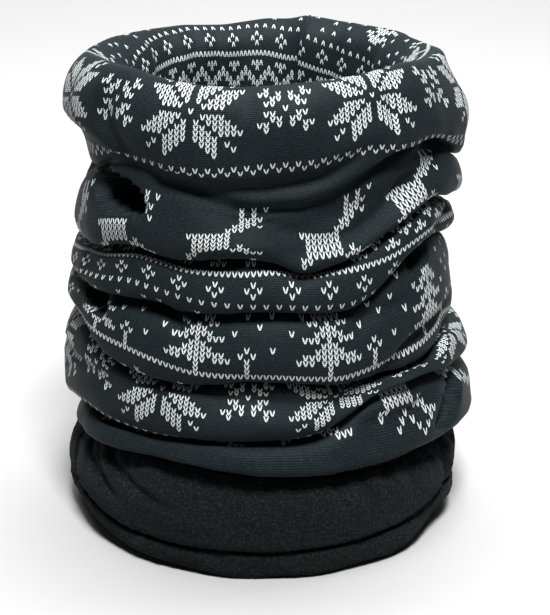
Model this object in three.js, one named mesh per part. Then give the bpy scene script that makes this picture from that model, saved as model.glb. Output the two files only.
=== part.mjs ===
// A scrunched neck gaiter standing on its fleece end, in millimetres, +Z up.
// The origin is on the surface it stands on, on the axis of the tube. The front faces -Y.
// Angles round the tube are counted from the front towards +X.
import * as THREE from 'three';
import { mergeVertices } from 'three/addons/utils/BufferGeometryUtils.js';

// ---- driving dimensions -------------------------------------------------------------
const flatWidth = 250;          // the tube laid flat, side to side
const openingDiameter = 110;    // clear way through the gathered wall
const seamHeight = 41;          // joining seam between print and fleece, at the front
const gatheredHeight = 149;     // printed tube above that seam, pushed down into rolls
const rollCount = 6;            // rolls that the printed tube lies in
const rollBulge = 2.4;          // how far a roll stands out past the round tube
const creaseDepth = 7.5;        // how far the wall draws in between two rolls
const rimDrop = 10;             // height of the rounded top edge
const turnInDepth = 78;         // length of the top that is turned down inside
const turnInThickness = 1.6;    // the turned-in layer, as it lies on the folds
const fleeceThickness = 2.6;    // one layer of pile fleece
const outerEdgeHeight = 12;     // lower edge of the outer fleece above the ground
const liningInset = 3;          // inner face of the gathered lining outside the opening
const sideRise = 8;             // how far the hem lifts at the two sides
const sideRiseFrom = 0.6;       // share of the half width at which the hem starts to lift
const threadRadius = 0.8;       // overlocked seam, taken as one bead
const sideSeamAngle = -120;     // where the fleece tubes are closed, degrees
const labelWidth = 26;
const labelLength = 26;
const labelThickness = 0.6;
const clearance = 0.3;          // between any two pieces that touch
const segments = 48;            // facets round the tube

// ---- sizes that follow --------------------------------------------------------------
const tubeRadius = flatWidth / Math.PI;
const openingRadius = openingDiameter / 2;
const rollRadius = tubeRadius + rollBulge;
const creaseRadius = tubeRadius - creaseDepth;
const rimHeight = seamHeight + gatheredHeight;
const rimRadius = (openingRadius + tubeRadius) / 2;
const hemEdgeHeight = rimHeight - turnInDepth;
const foldInnerRadius = openingRadius + turnInThickness;
const seamGap = threadRadius + clearance;
const fleeceOuterRadius = tubeRadius + 0.6;
const fleeceNeckRadius = creaseRadius + threadRadius;
const liningInnerRadius = openingRadius + liningInset;
const chordSlack = tubeRadius * (1 - Math.cos(Math.PI / segments));

const materials = {
  print: { color: 0x232b2c, roughness: 0.85, metalness: 0 },
  fleece: { color: 0x191d1e, roughness: 0.95, metalness: 0 },
  thread: { color: 0x15181a, roughness: 0.6, metalness: 0 },
  label: { color: 0xe6e6e2, roughness: 0.7, metalness: 0 },
};

// ---- shape helpers ------------------------------------------------------------------

/** Point at an angle round the tube, in degrees, a radius and a height. */
function around(angle, radius, height) {
  const a = THREE.MathUtils.degToRad(angle);
  return new THREE.Vector3(radius * Math.sin(a), -radius * Math.cos(a), height);
}

/** A value that is set at the front, right, back and left, and varies smoothly between. */
function byQuarter(front, right, back, left) {
  const mean = (front + right + back + left) / 4;
  const twice = (front - right + back - left) / 4;
  return (angle) => {
    const a = THREE.MathUtils.degToRad(angle);
    const once = (front - back) / 2 * Math.cos(a) + (right - left) / 2 * Math.sin(a);
    return mean + once + twice * Math.cos(2 * a);
  };
}

/** Smooth step from 0 at low to 1 at high. */
function ease(low, high, value) {
  return THREE.MathUtils.smoothstep(value, low, high);
}

/** Closed ring: profileAt(angle) gives one closed outline of [radius, height] pairs,
 *  anticlockwise with radius to the right, with as many points at every angle. */
function ringGeometry(profileAt) {
  const positions = [];
  const indices = [];
  const count = profileAt(0).length;
  for (let j = 0; j < segments; j += 1) {
    const angle = 360 * j / segments;
    profileAt(angle).forEach(([r, z]) => positions.push(...around(angle, r, z).toArray()));
  }
  const at = (i, j) => (j % segments) * count + (i % count);
  for (let j = 0; j < segments; j += 1) {
    for (let i = 0; i < count; i += 1) {
      indices.push(at(i, j), at(i, j + 1), at(i + 1, j + 1));
      indices.push(at(i, j), at(i + 1, j + 1), at(i + 1, j));
    }
  }
  const geometry = new THREE.BufferGeometry();
  geometry.setAttribute('position', new THREE.Float32BufferAttribute(positions, 3));
  geometry.setIndex(indices);
  return geometry;
}

/** Round thread carried along a list of points. */
function threadGeometry(points, radius, steps) {
  const section = new THREE.Shape();
  section.absarc(0, 0, radius, 0, 2 * Math.PI);
  const extrudePath = new THREE.CatmullRomCurve3(points);
  const options = { steps, curveSegments: 4, bevelEnabled: false, extrudePath };
  const geometry = new THREE.ExtrudeGeometry(section, options);
  geometry.deleteAttribute('normal');
  geometry.deleteAttribute('uv');
  return mergeVertices(geometry);
}

/** Outline of a round thread that runs round the tube at a radius and a height. */
function threadOutline(radius, height) {
  const sides = 8;
  const outline = [];
  for (let i = 0; i < sides; i += 1) {
    const a = 2 * Math.PI * i / sides;
    outline.push([radius + threadRadius * Math.cos(a), height + threadRadius * Math.sin(a)]);
  }
  return outline;
}

// ---- lines round the tube that pieces share -----------------------------------------

const seamAt = byQuarter(seamHeight, seamHeight - 2, seamHeight, seamHeight - 5);
const creaseSkews = [
  byQuarter(-6, 0, -4, -2),
  byQuarter(-5, 4, 0, -4),
  byQuarter(2, 14, 6, 6),
  byQuarter(-4, 6, 2, 0),
  byQuarter(-3, 6, 4, 2),
];

/** Height of the crease above the n-th roll, counted from the seam. */
function creaseHeight(n, angle) {
  if (n === 0) return seamAt(angle) + seamGap;
  const share = n / (rollCount + 0.6);
  return seamAt(angle) + gatheredHeight * share + creaseSkews[n - 1](angle);
}

/** Height of the hem: flat at the front and the back, lifted at the two sides. */
function hemAt(angle) {
  const side = Math.abs(Math.sin(THREE.MathUtils.degToRad(angle)));
  return sideRise * ease(sideRiseFrom, 1, side);
}

// ---- the pieces ---------------------------------------------------------------------

/** Points on the outside of one roll, from its lower crease towards its upper one. */
function rollOutline(low, high, points) {
  const outline = [];
  for (let i = 0; i < points; i += 1) {
    const t = i / points;
    const bulge = Math.pow(Math.sin(Math.PI * t), 0.6);
    const r = THREE.MathUtils.lerp(creaseRadius, rollRadius, bulge);
    outline.push([r, THREE.MathUtils.lerp(low, high, t)]);
  }
  return outline;
}

/** Printed jersey: a gathered wall with rolls outside, a rounded rim, and the top of the
 *  tube turned down inside as far as its own hem. */
function printedTubeProfile(angle) {
  const pointsPerRoll = 6;
  const base = creaseHeight(0, angle);
  const outline = [[foldInnerRadius, base]];
  for (let n = 0; n < rollCount - 1; n += 1) {
    const low = creaseHeight(n, angle);
    outline.push(...rollOutline(low, creaseHeight(n + 1, angle), pointsPerRoll));
  }
  const collarLow = creaseHeight(rollCount - 1, angle);
  const collarHigh = rimHeight - rimDrop;
  const collarRadius = tubeRadius - 2.4;
  outline.push([creaseRadius, collarLow]);
  outline.push([collarRadius, THREE.MathUtils.lerp(collarLow, collarHigh, 0.2)]);
  outline.push([collarRadius + 0.6, THREE.MathUtils.lerp(collarLow, collarHigh, 0.6)]);
  const rimSteps = 8;
  for (let i = 0; i <= rimSteps; i += 1) {
    const a = Math.PI * i / rimSteps;
    const halfWidth = a < Math.PI / 2 ? collarRadius - rimRadius : rimRadius - openingRadius;
    outline.push([rimRadius + halfWidth * Math.cos(a), collarHigh + rimDrop * Math.sin(a)]);
  }
  outline.push([openingRadius, THREE.MathUtils.lerp(collarHigh, hemEdgeHeight, 0.5)]);
  outline.push([openingRadius, hemEdgeHeight]);
  outline.push([foldInnerRadius, hemEdgeHeight]);
  outline.push([foldInnerRadius, THREE.MathUtils.lerp(hemEdgeHeight, base, 0.5)]);
  return outline;
}

/** Overlocked free edge of the turned-in top, just under that edge. */
function topHemProfile() {
  const radius = foldInnerRadius - clearance - threadRadius;
  return threadOutline(radius, hemEdgeHeight - seamGap);
}

/** Overlocked seam that joins print and fleece, in the groove between them. */
function joiningSeamProfile(angle) {
  return threadOutline(creaseRadius, seamAt(angle));
}

/** Radius of the outer face of the outer fleece: drawn in at the seam, full below. */
function fleeceFace(share) {
  const bulge = Math.pow(Math.sin(Math.PI / 2 * Math.min(1, share * 1.6)), 0.7);
  return THREE.MathUtils.lerp(fleeceNeckRadius + clearance, fleeceOuterRadius, bulge);
}

/** Height on the outer fleece, from the seam, share 0, to its lower edge, share 1. */
function fleeceLevel(angle, share) {
  const high = seamAt(angle) - seamGap;
  return THREE.MathUtils.lerp(high, outerEdgeHeight + hemAt(angle) / 2, share);
}

/** Outer fleece: a band one layer thick that hangs from the seam. */
function fleeceOuterProfile(angle) {
  const steps = 6;
  const outside = [];
  const inside = [];
  for (let i = 0; i <= steps; i += 1) {
    const share = i / steps;
    const radius = fleeceFace(share);
    outside.unshift([radius, fleeceLevel(angle, share)]);
    inside.push([radius - fleeceThickness, fleeceLevel(angle, share)]);
  }
  return [...outside, ...inside];
}

/** Fleece lining: gathered into a thick ring inside the outer fleece, with its lower
 *  edge turned out under that one's edge. It carries the rolls and meets the ground. */
function fleeceLiningProfile(angle) {
  const steps = 6;
  const hem = hemAt(angle);
  const lip = outerEdgeHeight + hem / 2 - clearance;
  const round = 3;
  const outline = [
    [liningInnerRadius + round, hem],
    [fleeceOuterRadius - round, hem],
    [fleeceOuterRadius - 0.6, THREE.MathUtils.lerp(hem, lip, 0.4)],
    [fleeceOuterRadius - 1, lip],
  ];
  const backing = fleeceThickness + clearance;
  for (let i = steps; i >= 0; i -= 1) {
    const share = i / steps;
    outline.push([fleeceFace(share) - backing, fleeceLevel(angle, share) - clearance]);
  }
  const top = creaseHeight(0, angle) - clearance;
  const ledge = seamAt(angle) - threadRadius;
  outline.push([fleeceFace(0) - backing, ledge]);
  outline.push([creaseRadius - seamGap, ledge]);
  outline.push([creaseRadius - seamGap, top]);
  outline.push([liningInnerRadius + round, top]);
  outline.push([liningInnerRadius, top - round]);
  outline.push([liningInnerRadius, hem + round]);
  return outline;
}

/** Thread that closes the outer fleece into a tube, on its outer face. */
function outerSideSeam() {
  const stitches = 8;
  const points = [];
  for (let i = 1; i <= stitches; i += 1) {
    const share = i / (stitches + 1);
    const radius = fleeceFace(share) + seamGap + chordSlack;
    points.push(around(sideSeamAngle, radius, fleeceLevel(sideSeamAngle, share)));
  }
  return threadGeometry(points, threadRadius, 14);
}

/** Thread that closes the lining into a tube, on its inner face. */
function liningSideSeam() {
  const low = hemAt(sideSeamAngle) + 5;
  const high = seamAt(sideSeamAngle) - 6;
  const radius = liningInnerRadius - seamGap;
  const points = [];
  for (let i = 0; i <= 4; i += 1) {
    points.push(around(sideSeamAngle, radius, THREE.MathUtils.lerp(low, high, i / 4)));
  }
  return threadGeometry(points, threadRadius, 8);
}

// The care label hangs inside, at the back, its top edge caught under the folds.
const labelTop = seamAt(180) - 5;
const halfLabel = labelWidth / 2;
const labelBack = Math.sqrt((liningInnerRadius - clearance) ** 2 - halfLabel ** 2) - 0.1;
const labelFront = labelBack - labelThickness;
const tackRadius = 0.4;

/** Row of zigzag stitches along the top of the care label. */
function labelStitches() {
  const stitches = 8;
  const margin = 2;
  const points = [];
  for (let i = 0; i <= stitches; i += 1) {
    const x = THREE.MathUtils.lerp(-halfLabel + margin, halfLabel - margin, i / stitches);
    const z = labelTop - 2 + (i % 2 ? 0.7 : -0.7);
    points.push(new THREE.Vector3(x, labelFront - clearance - tackRadius, z));
  }
  return threadGeometry(points, tackRadius, 32);
}

/** Named mesh with a finish of its own. */
function piece(name, geometry, finish) {
  const material = new THREE.MeshStandardMaterial(finish);
  const mesh = new THREE.Mesh(geometry, material);
  mesh.name = name;
  return mesh;
}

const faceEnd = new THREE.Group();
faceEnd.add(
  piece('printed_tube', ringGeometry(printedTubeProfile), materials.print),
  piece('top_hem_thread', ringGeometry(topHemProfile), materials.thread),
);

const fleeceEnd = new THREE.Group();
fleeceEnd.add(
  piece('fleece_outer', ringGeometry(fleeceOuterProfile), materials.fleece),
  piece('fleece_lining', ringGeometry(fleeceLiningProfile), materials.fleece),
  piece('joining_seam', ringGeometry(joiningSeamProfile), materials.thread),
  piece('fleece_outer_side_seam', outerSideSeam(), materials.thread),
  piece('fleece_lining_side_seam', liningSideSeam(), materials.thread),
);

const careLabel = new THREE.Group();
const labelPlate = new THREE.BoxGeometry(labelWidth, labelThickness, labelLength);
const labelMesh = piece('care_label', labelPlate, materials.label);
labelMesh.position.set(0, labelBack - labelThickness / 2, labelTop - labelLength / 2);
careLabel.add(labelMesh, piece('care_label_stitches', labelStitches(), materials.thread));

const neckGaiter = new THREE.Group();
neckGaiter.add(fleeceEnd, faceEnd, careLabel);

export default neckGaiter;
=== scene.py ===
"""A scrunched neck gaiter: printed jersey pushed down into rolls over a double fleece band."""

import math

import bpy
import numpy as np
from bpy.props import FloatProperty, FloatVectorProperty, PointerProperty
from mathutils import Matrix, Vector
from mathutils.bvhtree import BVHTree


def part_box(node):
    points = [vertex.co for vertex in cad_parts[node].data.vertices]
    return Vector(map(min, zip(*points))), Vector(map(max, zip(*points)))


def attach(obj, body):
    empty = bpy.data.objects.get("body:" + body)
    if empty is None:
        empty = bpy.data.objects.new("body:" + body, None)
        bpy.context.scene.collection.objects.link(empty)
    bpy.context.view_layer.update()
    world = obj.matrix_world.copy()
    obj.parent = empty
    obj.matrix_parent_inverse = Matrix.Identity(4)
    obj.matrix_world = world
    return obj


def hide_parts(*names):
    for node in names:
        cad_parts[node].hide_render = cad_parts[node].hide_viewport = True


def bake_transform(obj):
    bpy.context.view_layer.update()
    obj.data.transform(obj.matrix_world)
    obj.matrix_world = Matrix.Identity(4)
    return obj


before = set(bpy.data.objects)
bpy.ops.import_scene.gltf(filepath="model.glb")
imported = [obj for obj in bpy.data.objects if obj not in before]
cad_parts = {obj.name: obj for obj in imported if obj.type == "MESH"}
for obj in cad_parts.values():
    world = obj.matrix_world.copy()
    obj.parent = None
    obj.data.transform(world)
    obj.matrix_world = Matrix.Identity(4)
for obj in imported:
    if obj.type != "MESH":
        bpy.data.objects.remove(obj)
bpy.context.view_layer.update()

bl_info = {
    "name": "Neck Gaiter",
    "version": (1, 0, 0),
    "blender": (4, 5, 0),
    "location": "View3D > Sidebar > Neck Gaiter",
    "description": "Builds a scrunched neck gaiter of printed jersey and fleece",
    "category": "Add Mesh",
}

MM = 0.001
FLEECE_BODY = "fleece_end"
LABEL_BODY = "label"

TUBE_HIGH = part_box("printed_tube")[1]
FLEECE_LOW, FLEECE_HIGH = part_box("fleece_outer")
HEM_LOW, HEM_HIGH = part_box("top_hem_thread")
LABEL_LOW, LABEL_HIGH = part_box("care_label")
SEAM_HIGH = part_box("joining_seam")[1]

RIM_HEIGHT = TUBE_HIGH.z / MM
HEM_HEIGHT = HEM_HIGH.z / MM
OPENING_RADIUS = HEM_HIGH.x / MM
FLEECE_RADIUS = FLEECE_HIGH.x / MM
OUTER_EDGE = FLEECE_LOW.z / MM
SEAM_RADIUS = SEAM_HIGH.x / MM
LINING_INNER = OPENING_RADIUS + 1.7
GIRTH = 500            # mm round the flat tube


# ---- curves round and along the tube --------------------------------------------------

def closed_curve(angles, knots, values):
    """Smooth closed curve through values at the knot angles, in degrees: a cubic between
    each two knots, with slopes taken from the neighbours on either side."""
    knots = np.asarray(knots, float)
    values = np.asarray(values, float)
    before = np.roll(knots, 1)
    before[0] -= 360
    after = np.roll(knots, -1)
    after[-1] += 360
    slopes = (np.roll(values, -1) - np.roll(values, 1)) / (after - before)
    turned = (np.asarray(angles, float) - knots[0]) % 360 + knots[0]
    i = np.searchsorted(knots, turned, side="right") - 1
    j = (i + 1) % len(knots)
    width = after[i] - knots[i]
    t = (turned - knots[i]) / width
    rise = values[i] * (2 * t**3 - 3 * t**2 + 1) + values[j] * (3 * t**2 - 2 * t**3)
    lean = slopes[i] * (t**3 - 2 * t**2 + t) + slopes[j] * (t**3 - t**2)
    return rise + lean * width


def ring_angles(columns):
    """Angle of each column of a ring in degrees from the front, starting at the back."""
    return np.arange(columns) * 360 / columns - 180


def bump(angles, centre, width):
    """Round hill of height 1 at a centre angle, falling away over a width in degrees."""
    off = (np.asarray(angles, float) - centre + 180) % 360 - 180
    return np.exp(-((off / width) ** 2))


def ease(low, high, value):
    """Smooth step from 0 at low to 1 at high."""
    t = np.clip((np.asarray(value, float) - low) / (high - low), 0, 1)
    return t * t * (3 - 2 * t)


def through(points, samples):
    """Centripetal Catmull-Rom curve through stations, for all columns at once: points is
    columns x stations x 2, and each span between two stations gets the same samples."""
    first = 2 * points[:, :1] - points[:, 1:2]
    last = 2 * points[:, -1:] - points[:, -2:-1]
    p = np.concatenate([first, points, last], axis=1)
    gaps = np.sqrt(np.linalg.norm(np.diff(p, axis=1), axis=2)) + 1e-6
    p0, p1, p2, p3 = p[:, :-3], p[:, 1:-2], p[:, 2:-1], p[:, 3:]
    a, b, c = (gaps[:, k : gaps.shape[1] - 2 + k, None] for k in range(3))
    slope1 = (p1 - p0) / a - (p2 - p0) / (a + b) + (p2 - p1) / b
    slope2 = (p2 - p1) / b - (p3 - p1) / (b + c) + (p3 - p2) / c
    t = (np.arange(samples) / samples)[None, None, :, None]
    q1, q2 = p1[:, :, None], p2[:, :, None]
    m1, m2 = (slope1 * b)[:, :, None], (slope2 * b)[:, :, None]
    curve = q1 * (2 * t**3 - 3 * t**2 + 1) + q2 * (3 * t**2 - 2 * t**3)
    curve = curve + m1 * (t**3 - 2 * t**2 + t) + m2 * (t**3 - t**2)
    flat = curve.reshape(len(points), -1, 2)
    return np.concatenate([flat, points[:, -1:]], axis=1)


def on_rows(curve, samples, anchors, rows):
    """Lays fabric rows on a curve: anchors maps stations to row numbers, rows between two
    anchors are spread evenly along the length, and the points at whole rows come back."""
    columns, count, _ = curve.shape
    steps = np.linalg.norm(np.diff(curve, axis=1), axis=2)
    along = np.concatenate([np.zeros((columns, 1)), np.cumsum(steps, axis=1)], axis=1)
    stations = np.array([s for s, _ in anchors]) * samples
    numbers = np.stack([np.broadcast_to(r, columns) for _, r in anchors], axis=1)
    lengths = along[:, stations]
    huge = 10.0 * (along.max() + 1)
    lift = np.arange(columns)[:, None] * huge
    flat_rows = np.interp((along + lift).ravel(), (lengths + lift).ravel(), numbers.ravel())
    row_of = flat_rows.reshape(columns, count)
    span = 10.0 * (np.abs(numbers).max() + 1)
    lift = np.arange(columns)[:, None] * span
    wanted = (rows[None, :] + lift).ravel()
    known = (row_of + lift).ravel()
    out = [np.interp(wanted, known, curve[:, :, k].ravel()) for k in range(2)]
    return np.stack(out, axis=-1).reshape(columns, len(rows), 2)


def stack(pairs, columns):
    """Stations given as radius and height pairs, as columns x stations x 2."""
    full = [[np.broadcast_to(np.asarray(x, float), columns) for x in pair] for pair in pairs]
    return np.moveaxis(np.array(full), 2, 0)


def turned(angles, radius, height):
    """Points at an angle round the tube from the front, a radius and a height, in metres."""
    a = np.radians(angles)
    return np.stack([radius * np.sin(a), -radius * np.cos(a), height], axis=-1) * MM


def waves(u, v, seed, count, longest, shortest):
    """Smooth uneven surface about zero: a sum of sine waves of random direction, length
    and phase over the two coordinates. u is closed, so its waves are whole numbers."""
    rng = np.random.default_rng(seed)
    total = np.zeros(np.broadcast(u, v).shape)
    for _ in range(count):
        length = rng.uniform(shortest, longest)
        angle = rng.uniform(0, math.pi)
        turns = round(GIRTH / length * math.cos(angle))
        share = math.sin(angle) / length * 2 * math.pi
        wave = np.sin(turns * np.radians(u) + share * v + rng.uniform(0, 2 * math.pi))
        total += wave * math.sqrt(length / longest)
    return total / math.sqrt(count)


# ---- meshes ----------------------------------------------------------------------------

def new_object(name, vertices, faces, material):
    """Smooth shaded object at the origin. The material goes by its name."""
    mesh = bpy.data.meshes.new(name)
    mesh.from_pydata(vertices.reshape(-1, 3).tolist(), [], faces)
    mesh.update()
    mesh.polygons.foreach_set("use_smooth", np.ones(len(mesh.polygons), bool))
    mesh.materials.append(bpy.data.materials[material])
    piece = bpy.data.objects.new(name, mesh)
    bpy.context.scene.collection.objects.link(piece)
    return piece


def quads(*corners):
    """List of quads from the four corner numbers of each, given as grids."""
    return np.stack(np.broadcast_arrays(*corners), axis=-1).reshape(-1, 4).tolist()


def grid_faces(columns, rows, closed_rows=False):
    """Quads of a grid of columns x rows whose columns close into a ring, facing away from
    the axis where the rows run upwards."""
    i = np.arange(columns)[:, None]
    j = np.arange(rows if closed_rows else rows - 1)[None, :]
    right, up = (i + 1) % columns, (j + 1) % rows
    corners = (i * rows + j, right * rows + j, right * rows + up, i * rows + up)
    return quads(*corners)


def solidify(piece, thickness, offset):
    """Gives a sheet its thickness."""
    thick = piece.modifiers.new("thickness", "SOLIDIFY")
    thick.thickness = thickness
    thick.offset = offset
    thick.use_even_offset = False
    thick.use_rim = True


def apply_modifiers(piece):
    """Makes the piece's shown mesh its own mesh."""
    bpy.context.view_layer.update()
    graph = bpy.context.evaluated_depsgraph_get()
    mesh = bpy.data.meshes.new_from_object(
        piece.evaluated_get(graph), preserve_all_data_layers=True, depsgraph=graph
    )
    piece.modifiers.clear()
    piece.data = mesh


def bead(name, centre, radius, sides, material, closed):
    """Round thread along a line: a circle carried along the centre points, square to the
    line, with its ends closed by a fan where the line is open."""
    if closed:
        ahead = np.roll(centre, -1, axis=0) - np.roll(centre, 1, axis=0)
    else:
        ahead = np.gradient(centre, axis=0)
    ahead = ahead / np.linalg.norm(ahead, axis=1)[:, None]
    side = np.cross(ahead, (0, 0, 1.0) if abs(ahead[0, 2]) < 0.9 else (1.0, 0, 0))
    side = side / np.linalg.norm(side, axis=1)[:, None]
    lift = np.cross(side, ahead)
    a = np.arange(sides) * 2 * math.pi / sides
    radii = np.broadcast_to(radius, len(centre))[:, None, None]
    ring = np.cos(a)[None, :, None] * side[:, None] + np.sin(a)[None, :, None] * lift[:, None]
    points = centre[:, None] + ring * radii
    n = len(centre)
    i = np.arange(n if closed else n - 1)[:, None]
    j = np.arange(sides)[None, :]
    nxt, far = (j + 1) % sides, (i + 1) % n
    faces = quads(i * sides + nxt, far * sides + nxt, far * sides + j, i * sides + j)
    if not closed:
        faces.append(list(range(sides)))
        faces.append(list(range((n - 1) * sides, n * sides))[::-1])
    return new_object(name, points, faces, material)


# ---- the knitting chart ----------------------------------------------------------------

COLUMNS = 210          # printed stitches round the tube
SEAM_ROW = 118         # fabric rows count downwards from the middle of the upper star
STITCH_HEIGHT = 2.4 * MM
MOST_TALL, MOST_WIDE = 1.75, 1.45   # a cell stretched by more than this is left unprinted
FREE_ROW = -66         # row of the free edge, turned down inside

STAR_QUARTER = ("........", ".####...", "#.####..", "##.####.", "###.####",
                "####....", ".###....", "..##....", "...#....")
SMALL_STAR_QUARTER = (".....", ".##..", "##...", "#.##.", "..#..")
REINDEER = (
    "........#.#.#",
    "........#.#..",
    "........####.",
    "........###..",
    ".......###.#.",
    "......###....",
    "#######......",
    ".######......",
    ".######......",
    ".######.#....",
    "##.....###...",
    "#........###.",
)
FIR = (
    ".....###.....",
    "....#####....",
    "...##.#.##...",
    ".....###.....",
    "....#####....",
    "..###.#.###..",
    ".....###.....",
    "....#####....",
    "..#########..",
    ".###.###.###.",
    "......#......",
    "......#......",
)
SAPLING = (".#.", "#.#", ".#.", ".#.", ".#.")
SNOW = ((-4, -11), (4, -11), (8, -11), (12, -11), (-6, -8), (6, -8), (10, -9), (12, -5), (0, -14),
        (6, -14), (11, -14), (-7, -14))
BORDER = (".#....", "###...", "#.##.#", "...###", ".#..#.", "###...")
# A short zigzag of single stitches, low on the right of the front.
PEAKS = ("..#.......", ".#.#...#..", "#...#.#.#.", ".....#...#")
STAR_REPEAT = 30
FIR_REPEAT = 21
REINDEER_REPEAT = 17.5
SMALL_REPEAT = 6


def row_index(row):
    """Index of a fabric row in the chart, which counts from the seam upwards."""
    return SEAM_ROW - row


def stamp(chart, motif, column, row):
    """Prints a motif with its upper left stitch at a column and a row."""
    for down, line in enumerate(motif):
        for across, mark in enumerate(line):
            index = row_index(row + down)
            if mark == "#" and 0 <= index < chart.shape[1]:
                chart[(column + across) % COLUMNS, index] = 1


def mirrored(quarter, dots):
    """A motif that mirrors one quarter up, down, left and right about its middle stitch,
    with single stitches added in the four corners."""
    reach = len(quarter) - 1
    size = 2 * reach + 1
    cells = np.zeros((size, size), bool)
    cells[reach, reach] = True
    marks = [(r, c + 1) for r, line in enumerate(quarter) for c, m in enumerate(line) if m == "#"]
    for r, c in marks + list(dots):
        for down in (-r, r):
            for across in (-c, c):
                cells[reach + down, reach + across] = True
    return ["".join("#" if cell else "." for cell in line) for line in cells]


def star_band(chart, middle, first):
    """Big stars with small crossed stars between them, and two rows of dots below."""
    big = mirrored(STAR_QUARTER, [(6, 6), (7, 7)])
    small = mirrored(SMALL_STAR_QUARTER, [])
    for n in range(COLUMNS // STAR_REPEAT):
        column = first + n * STAR_REPEAT
        stamp(chart, big, column - 8, middle - 8)
        stamp(chart, small, column + STAR_REPEAT // 2 - 4, middle - 4)
    for column in range(0, COLUMNS, 2):
        stamp(chart, "#", column, middle + 11)
        stamp(chart, "#", column + 1, middle + 12)


def reindeer_band(chart, top, first):
    """Leaping reindeer, all facing the same way."""
    for n in range(round(COLUMNS / REINDEER_REPEAT)):
        stamp(chart, REINDEER, first + round(n * REINDEER_REPEAT), top)


def border_band(chart, line):
    """Chevrons and small triangles over a solid line, diamonds and a dotted line below."""
    for column in range(0, COLUMNS, SMALL_REPEAT):
        stamp(chart, BORDER, column, line - 7)
        stamp(chart, (".#.", "#.#", ".#."), column, line + 2)
    for column in range(COLUMNS):
        stamp(chart, "#", column, line)
        if column % 2:
            stamp(chart, "#", column, line + 6)


def fir_band(chart, line, first):
    """Fir trees and saplings on a solid line, with snow between them."""
    for n in range(COLUMNS // FIR_REPEAT):
        column = first + n * FIR_REPEAT
        stamp(chart, FIR, column - 6, line - len(FIR))
        stamp(chart, SAPLING, column + 7, line - len(SAPLING))
        for across, up in SNOW:
            index = row_index(line + up)
            near = chart[(column + across - 1) % COLUMNS, index - 1 : index + 2]
            if 0 <= index < chart.shape[1] and not near.any():
                stamp(chart, "#", column + across, line + up)
    for column in range(COLUMNS):
        stamp(chart, "#", column, line)


def knitting_chart():
    """Which stitches are printed white: columns x rows, rows from the seam upwards."""
    chart = np.zeros((COLUMNS, SEAM_ROW - FREE_ROW + 1), np.float32)
    star_band(chart, 0, 93)
    reindeer_band(chart, 22, 93)
    border_band(chart, 43)
    fir_band(chart, 66, 94)
    star_band(chart, 78, 87)
    reindeer_band(chart, 98, 90)
    fir_band(chart, -12, 96)
    border_band(chart, -35)
    reindeer_band(chart, -58, 95)
    stamp(chart, PEAKS, 128, 109)
    return chart


# ---- the printed tube ------------------------------------------------------------------

LIPS = (
    ((-180, 58), (-150, 54), (-120, 50), (-90, 47), (-70, 53), (-50, 54.5), (-30, 55.3), (-10, 56.7),
     (6, 57.3), (15, 58.5), (20, 61), (26, 65), (34, 70), (42, 73), (52, 72), (62, 69), (90, 64),
     (120, 60), (150, 60)),
    ((-180, 82), (-150, 82), (-120, 85), (-90, 88), (-71, 90), (-59, 85.5), (-50, 81), (-42, 78.5),
     (-32, 77.3), (-17, 78), (0, 80.5), (12, 79.5), (22, 77.3), (32, 77.5), (47, 77), (58, 77),
     (68, 82), (90, 80), (120, 80), (150, 82)),
    ((-180, 104), (-150, 103), (-120, 102), (-90, 101), (-60, 104), (-43, 106.5), (-25, 106),
     (0, 107.5), (22, 106), (31, 109), (38, 115), (45, 121), (56, 125), (70, 122), (90, 116),
     (120, 108), (150, 105)),
    ((-180, 126), (-150, 124), (-120, 120), (-90, 115), (-56, 122), (-40, 127), (-25, 126), (-7, 128),
     (3, 126), (11, 121.5), (20, 124), (28, 128), (38, 134), (44, 137), (55, 141), (63, 139),
     (75, 136), (90, 130), (120, 126), (150, 126)),
    ((-180, 150), (-150, 148), (-120, 146), (-90, 142), (-70, 147), (-50, 154), (-40, 155),
     (-30, 153.5), (-20, 150), (-12, 146), (-3, 143.5), (8, 144.5), (18, 147), (24, 150.5),
     (30, 154), (37, 158), (45, 161), (54, 162), (71, 156), (90, 145), (120, 146), (150, 149)),
)
LIP_DEPTHS = (
    ((-180, 15), (-60, 15), (0, 17), (60, 17), (120, 15)),
    ((-180, 16), (0, 17), (90, 16)),
    ((-180, 15), (0, 15), (90, 15)),
    ((-180, 15), (0, 15), (90, 15)),
    ((-180, 15), (-62, 14), (-53, 9), (-44, 5), (-22, 4), (-10, 5.5), (10, 6.5), (45, 7), (60, 9),
     (74, 13), (90, 15)),
)
LIP_ROWS = (
    ((-180, 88.5), (-90, 89.5), (-45, 89.3), (-25, 88.6), (5, 88.6), (18, 89.5), (34, 90.5), (60, 90),
     (90, 89)),
    ((-180, 67.5), (-90, 69.5), (-72, 69.5), (-59, 70.2), (-51, 71), (-36, 71.3), (-26, 70.3),
     (-17, 68.8), (-4, 67.2), (12, 67.2), (31, 68), (45, 68.5), (60, 70), (90, 68)),
    ((-180, 50.5), (-90, 52), (-60, 54), (-43, 54), (-25, 53.3), (-12, 51.5), (0, 50.3), (22, 50.3),
     (31, 50), (38, 48), (45, 46.5), (60, 46), (90, 49)),
    ((-180, 33), (-40, 33), (-20, 33.6), (-8, 36), (2, 36.5), (10, 34.5), (30, 33)),
    ((-180, 16), (-90, 19), (-70, 17.8), (-50, 14.6), (-40, 13.5), (-30, 13.7), (-20, 15.2),
     (-12, 17.2), (-3, 18.4), (18, 18.2), (24, 17.4), (30, 16.3), (37, 14), (45, 12.8), (54, 12.6),
     (70, 13.2), (90, 16)),
)
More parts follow.
